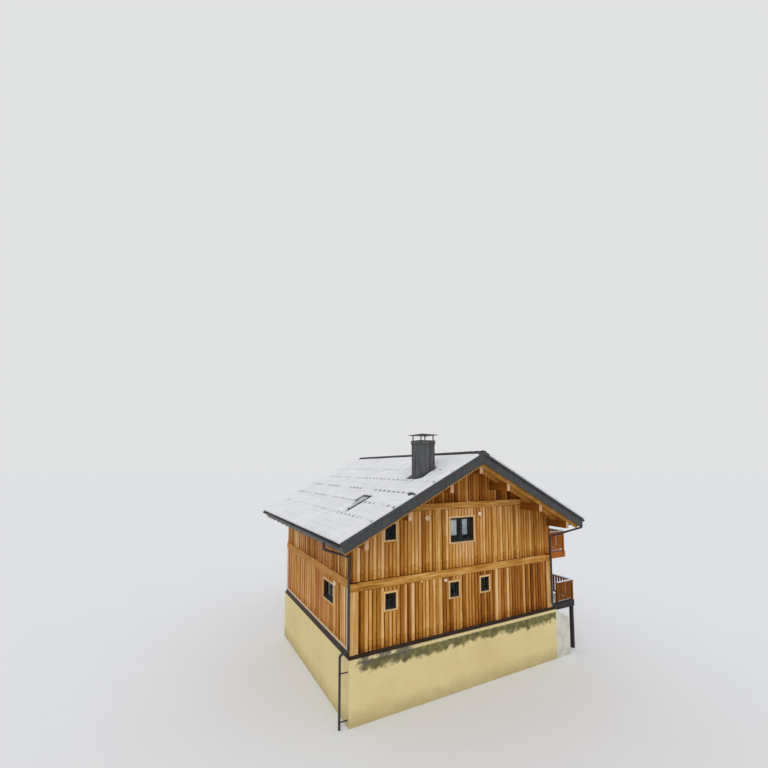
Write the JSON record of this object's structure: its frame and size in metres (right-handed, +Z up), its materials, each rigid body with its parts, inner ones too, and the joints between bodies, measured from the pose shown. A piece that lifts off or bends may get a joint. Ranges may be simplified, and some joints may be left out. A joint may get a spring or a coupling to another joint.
{
  "type": "alpine chalet",
  "caption": "Timber chalet on a rendered basement, with a wide gable roof on purlins, metal chimney, gutters, skylight, side terrace and balcony.",
  "frame": {"origin": "under the middle of the house, on the level that the basement walls stand on", "axes": "+Z up, the front gable faces -Y, the terrace and balcony are on the +X side"},
  "size_m": [14.92, 12.89, 11.5501],
  "materials": {
    "render": "matt rendered masonry",
    "concrete": "plain concrete",
    "cladding": "vertical weathered boards",
    "timber": "planed and oiled",
    "pale_trim": "planed boards",
    "tiles": "matt dark tiles under snow",
    "anthracite_metal": "satin painted sheet",
    "window_frame": "satin",
    "glazing": "clear",
    "lamp_white": "matt"
  },
  "bodies": {
    "root": {"basement_slab": "concrete", "basement_wall_front": "render", "basement_wall_back": "render", "basement_wall_left": "render", "basement_wall_right": "render", "plinth_flashing": "anthracite_metal", "ground_floor": "concrete", "upper_floor": "timber", "front_wall_lower": "cladding", "front_wall_upper": "cladding", "back_wall_lower": "cladding", "back_wall_upper": "cladding", "left_wall": "cladding", "right_wall": "cladding", "corner_posts": "timber", "gable_posts": "timber", "gable_beams": "timber", "side_beams": "timber", "ridge_purlin": "timber", "purlins_left": "timber", "purlins_right": "timber", "rafters_left": "timber", "rafters_right": "timber", "roof_deck_left": "timber", "roof_deck_right": "timber", "roof_cover_left": "tiles", "roof_cover_right": "tiles", "ridge_cap": "anthracite_metal", "verge_boards": "anthracite_metal", "eave_boards": "anthracite_metal", "gutters": "anthracite_metal", "downpipes": "anthracite_metal", "chimney_casing": "anthracite_metal", "chimney_cap": "anthracite_metal", "chimney_flashing": "anthracite_metal", "skylight_frame": "anthracite_metal", "skylight_glass": "glazing", "window_trims": "pale_trim", "window_frames": "window_frame", "window_glass": "glazing", "terrace_deck": "timber", "terrace_railing": "timber", "balcony_deck": "timber", "balcony_railing": "timber", "wing_wall": "render", "wall_lamps": "lamp_white"}
  },
  "joints": []
}
